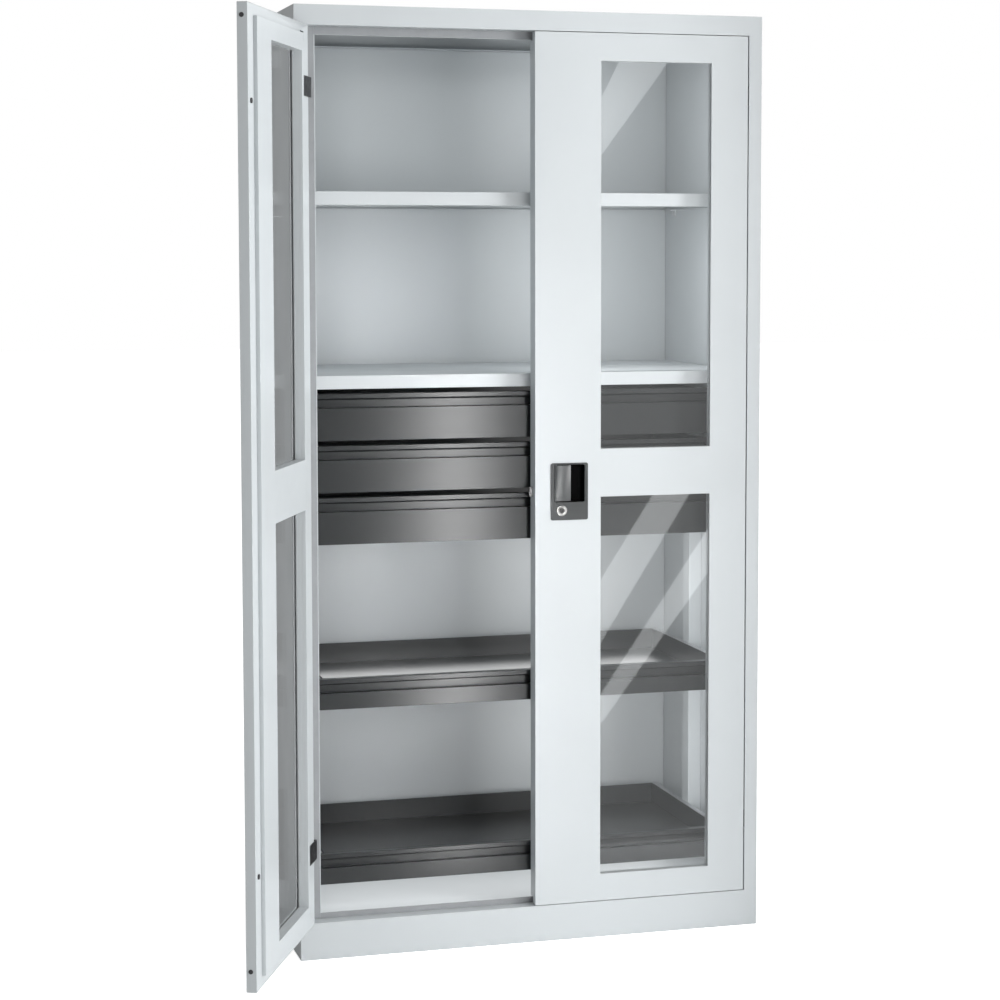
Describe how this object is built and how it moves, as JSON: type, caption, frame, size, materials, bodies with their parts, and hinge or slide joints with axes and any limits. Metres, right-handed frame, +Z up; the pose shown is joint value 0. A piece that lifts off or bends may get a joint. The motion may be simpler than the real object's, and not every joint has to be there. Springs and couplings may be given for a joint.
{
  "type": "storage cabinet with glass doors",
  "caption": "Tall sheet-steel storage cabinet with hinged glazed doors, shelves, drawers and pull-out trays behind them, and a recessed paddle lock.",
  "frame": {"origin": "middle of the plinth's underside, on the floor", "axes": "+Z up, the front looks along -Y, +X to the right as seen from the front"},
  "size_m": [1.1822, 1.0182, 1.95],
  "materials": {
    "light_grey_paint": "fine satin powder coat",
    "dark_grey_paint": "satin powder coat",
    "zinc_steel": "zinc plated",
    "black_rubber": "matt",
    "clear_glass": "clear, slightly grey",
    "lock_grey": "fine matt",
    "bright_metal": "polished"
  },
  "bodies": {
    "carcass": {"base_frame": "light_grey_paint", "floor_panel": "light_grey_paint", "side_left": "light_grey_paint", "side_right": "light_grey_paint", "roof": "light_grey_paint", "back_panel": "light_grey_paint", "liner_left": "light_grey_paint", "liner_right": "light_grey_paint", "shelf_upper": "light_grey_paint", "shelf_lower": "light_grey_paint", "shelf_clips": "zinc_steel", "runner_posts": "light_grey_paint", "outer_rails": "zinc_steel", "hinge_brackets": "zinc_steel", "hinge_pins": "zinc_steel"},
    "left_door": {"left_door_shell": "light_grey_paint", "left_door_inner": "light_grey_paint", "left_door_panes": "clear_glass", "left_door_seals": "black_rubber", "left_hinge_arms": "light_grey_paint", "left_door_stiffener": "light_grey_paint", "left_door_buffers": "black_rubber"},
    "right_door": {"right_door_shell": "light_grey_paint", "right_door_inner": "light_grey_paint", "right_door_panes": "clear_glass", "right_door_seals": "black_rubber", "right_hinge_arms": "light_grey_paint", "lock_channel": "light_grey_paint", "lock_plate": "lock_grey", "lock_cylinder": "bright_metal"},
    "pull_paddle": {"lock_paddle": "lock_grey"},
    "key": {"key_plug": "bright_metal", "lock_pinion": "zinc_steel"},
    "rod_up": {"upper_rod": "zinc_steel"},
    "rod_down": {"lower_rod": "zinc_steel"},
    "bolt": {"latch_bolt": "zinc_steel"},
    "lower_drawer": {"lower_drawer_body": "dark_grey_paint", "lower_drawer_front": "dark_grey_paint", "lower_drawer_inner_rails": "zinc_steel"},
    "lower_drawer_slide": {"lower_drawer_middle_rails": "zinc_steel"},
    "middle_drawer": {"middle_drawer_body": "dark_grey_paint", "middle_drawer_front": "dark_grey_paint", "middle_drawer_inner_rails": "zinc_steel"},
    "middle_drawer_slide": {"middle_drawer_middle_rails": "zinc_steel"},
    "upper_drawer": {"upper_drawer_body": "dark_grey_paint", "upper_drawer_front": "dark_grey_paint", "upper_drawer_inner_rails": "zinc_steel"},
    "upper_drawer_slide": {"upper_drawer_middle_rails": "zinc_steel"},
    "lower_tray": {"lower_tray_body": "dark_grey_paint", "lower_tray_front": "dark_grey_paint", "lower_tray_inner_rails": "zinc_steel"},
    "lower_tray_slide": {"lower_tray_middle_rails": "zinc_steel"},
    "upper_tray": {"upper_tray_body": "dark_grey_paint", "upper_tray_front": "dark_grey_paint", "upper_tray_inner_rails": "zinc_steel"},
    "upper_tray_slide": {"upper_tray_middle_rails": "zinc_steel"},
    "screw_front_left": {"foot_front_left": "zinc_steel"},
    "screw_front_right": {"foot_front_right": "zinc_steel"},
    "screw_rear_left": {"foot_rear_left": "zinc_steel"},
    "screw_rear_right": {"foot_rear_right": "zinc_steel"}
  },
  "joints": [
    {"name": "left_door_hinge", "type": "hinge", "parent": "carcass", "child": "left_door", "pos_m": [-0.4815, -0.284, 1], "axis": [0, 0, -1], "range_deg": [-114, 0]},
    {"name": "right_door_hinge", "type": "hinge", "parent": "carcass", "child": "right_door", "pos_m": [0.4815, -0.284, 1], "axis": [0, 0, 1], "range_deg": [0, 114]},
    {"name": "paddle_pull", "type": "hinge", "parent": "right_door", "child": "pull_paddle", "pos_m": [0.0475, -0.282, 0.9725], "axis": [0, 0, -1], "range_deg": [0, 25], "stiffness_Nm_per_rad": 0.3},
    {"name": "key_turn", "type": "hinge", "parent": "right_door", "child": "key", "pos_m": [0.059, -0.27, 0.9155], "axis": [0, 1, 0], "range_deg": [0, 90]},
    {"name": "upper_rod_slide", "type": "slide", "parent": "right_door", "child": "rod_up", "axis": [0, 0, 1], "range_m": [0, 0.0146]},
    {"name": "lower_rod_slide", "type": "slide", "parent": "right_door", "child": "rod_down", "axis": [0, 0, -1], "range_m": [0, 0.0146]},
    {"name": "bolt_slide", "type": "slide", "parent": "right_door", "child": "bolt", "axis": [1, 0, 0], "range_m": [0, 0.008]},
    {"name": "lower_drawer_pull", "type": "slide", "parent": "carcass", "child": "lower_drawer", "axis": [0, -1, 0], "range_m": [0, 0.45]},
    {"name": "lower_drawer_slide_run", "type": "slide", "parent": "carcass", "child": "lower_drawer_slide", "axis": [0, -1, 0], "range_m": [0, 0.225]},
    {"name": "middle_drawer_pull", "type": "slide", "parent": "carcass", "child": "middle_drawer", "axis": [0, -1, 0], "range_m": [0, 0.45]},
    {"name": "middle_drawer_slide_run", "type": "slide", "parent": "carcass", "child": "middle_drawer_slide", "axis": [0, -1, 0], "range_m": [0, 0.225]},
    {"name": "upper_drawer_pull", "type": "slide", "parent": "carcass", "child": "upper_drawer", "axis": [0, -1, 0], "range_m": [0, 0.45]},
    {"name": "upper_drawer_slide_run", "type": "slide", "parent": "carcass", "child": "upper_drawer_slide", "axis": [0, -1, 0], "range_m": [0, 0.225]},
    {"name": "lower_tray_pull", "type": "slide", "parent": "carcass", "child": "lower_tray", "axis": [0, -1, 0], "range_m": [0, 0.45]},
    {"name": "lower_tray_slide_run", "type": "slide", "parent": "carcass", "child": "lower_tray_slide", "axis": [0, -1, 0], "range_m": [0, 0.225]},
    {"name": "upper_tray_pull", "type": "slide", "parent": "carcass", "child": "upper_tray", "axis": [0, -1, 0], "range_m": [0, 0.45]},
    {"name": "upper_tray_slide_run", "type": "slide", "parent": "carcass", "child": "upper_tray_slide", "axis": [0, -1, 0], "range_m": [0, 0.225]},
    {"name": "levelling_front_left", "type": "slide", "parent": "carcass", "child": "screw_front_left", "axis": [0, 0, -1], "range_m": [0, 0.012]},
    {"name": "levelling_front_right", "type": "slide", "parent": "carcass", "child": "screw_front_right", "axis": [0, 0, -1], "range_m": [0, 0.012]},
    {"name": "levelling_rear_left", "type": "slide", "parent": "carcass", "child": "screw_rear_left", "axis": [0, 0, -1], "range_m": [0, 0.012]},
    {"name": "levelling_rear_right", "type": "slide", "parent": "carcass", "child": "screw_rear_right", "axis": [0, 0, -1], "range_m": [0, 0.012]}
  ],
  "couplings": [
    {"joint": "key_turn", "follows": "upper_rod_slide", "rad_per_m": 107.5},
    {"joint": "lower_rod_slide", "follows": "upper_rod_slide", "ratio": 1},
    {"joint": "bolt_slide", "follows": "paddle_pull", "m_per_rad": 0.0183},
    {"joint": "lower_drawer_pull", "follows": "right_door_hinge", "m_per_rad": 0.075},
    {"joint": "lower_drawer_slide_run", "follows": "right_door_hinge", "m_per_rad": 0.0375},
    {"joint": "middle_drawer_pull", "follows": "right_door_hinge", "m_per_rad": 0.075},
    {"joint": "middle_drawer_slide_run", "follows": "right_door_hinge", "m_per_rad": 0.0375},
    {"joint": "upper_drawer_pull", "follows": "right_door_hinge", "m_per_rad": 0.075},
    {"joint": "upper_drawer_slide_run", "follows": "right_door_hinge", "m_per_rad": 0.0375},
    {"joint": "lower_tray_pull", "follows": "right_door_hinge", "m_per_rad": 0.075},
    {"joint": "lower_tray_slide_run", "follows": "right_door_hinge", "m_per_rad": 0.0375},
    {"joint": "upper_tray_pull", "follows": "right_door_hinge", "m_per_rad": 0.075},
    {"joint": "upper_tray_slide_run", "follows": "right_door_hinge", "m_per_rad": 0.0375}
  ]
}
